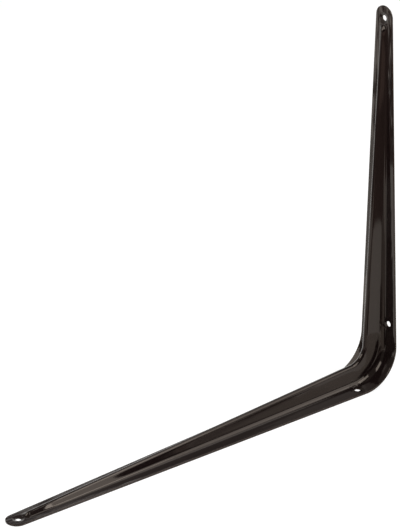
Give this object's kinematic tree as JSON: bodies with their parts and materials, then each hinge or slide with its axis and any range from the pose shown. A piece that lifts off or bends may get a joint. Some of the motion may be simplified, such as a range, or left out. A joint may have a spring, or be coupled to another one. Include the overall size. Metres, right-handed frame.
{
  "type": "shelf bracket",
  "caption": "L-shaped shelf bracket pressed from one sheet of painted steel, with tapering round-ended arms, screw holes and a hollow rib that rises into the rounded corner.",
  "frame": {"origin": "where the planes of the wall face and the shelf face meet the middle plane of the width, just outside the round bend", "axes": "+X along the shelf arm, +Z along the wall arm, +Y across the width towards the flange that carries the two inner screw holes"},
  "size_m": [0.3, 0.032, 0.25],
  "materials": {
    "enamel": "glossy dark brown enamel"
  },
  "bodies": {
    "root": {"bracket": "enamel"}
  },
  "joints": []
}
